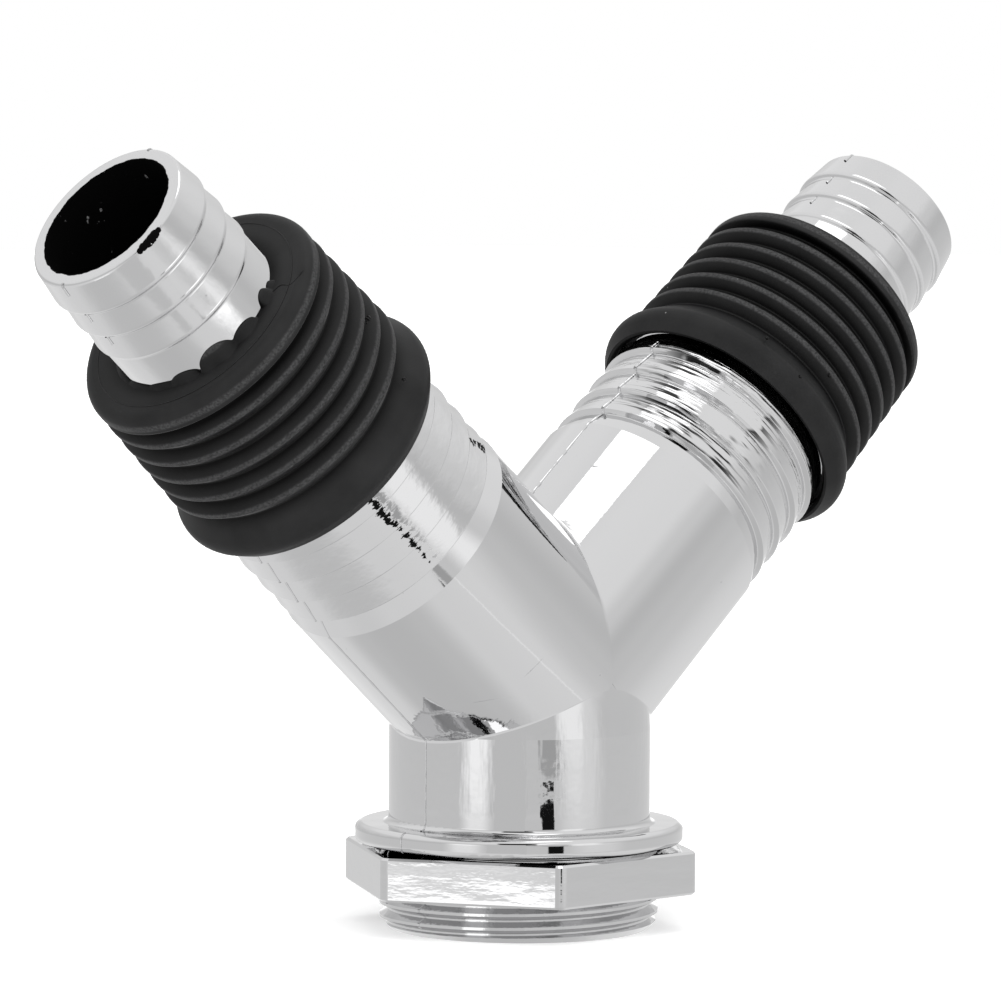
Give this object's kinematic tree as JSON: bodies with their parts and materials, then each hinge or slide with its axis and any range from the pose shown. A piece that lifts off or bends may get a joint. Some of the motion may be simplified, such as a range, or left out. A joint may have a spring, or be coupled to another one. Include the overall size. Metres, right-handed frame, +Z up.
{
  "type": "drain hose y connector",
  "caption": "Chrome-plated drain Y: a threaded foot with flange and lock nut, and branches whose ribbed rubber boots hold barbed hose tails.",
  "frame": {"origin": "centre of the foot's end face, which is also the bottom centre of the whole part", "axes": "+Z up the stem, the branches lean towards -X and +X in the XZ plane, +Y is away from the viewer"},
  "size_m": [0.2046, 0.0562, 0.1323],
  "materials": {
    "plated_body": "bright chrome plating on plastic, with a fine mould line",
    "plated_nut": "bright chrome plating on plastic",
    "plated_tail": "bright chrome plating outside, bare black plastic inside",
    "boot_rubber": "satin black moulded rubber"
  },
  "bodies": {
    "fitting": {"y_body": "plated_body", "left_boot": "boot_rubber", "right_boot": "boot_rubber", "left_hose_tail": "plated_tail", "right_hose_tail": "plated_tail"},
    "nut": {"lock_nut": "plated_nut"}
  },
  "joints": [
    {"name": "nut_turn", "type": "hinge", "parent": "fitting", "child": "nut", "pos_m": [0, 0, 0.0104], "axis": [0, 0, 1], "range_deg": [-360, 90]}
  ]
}
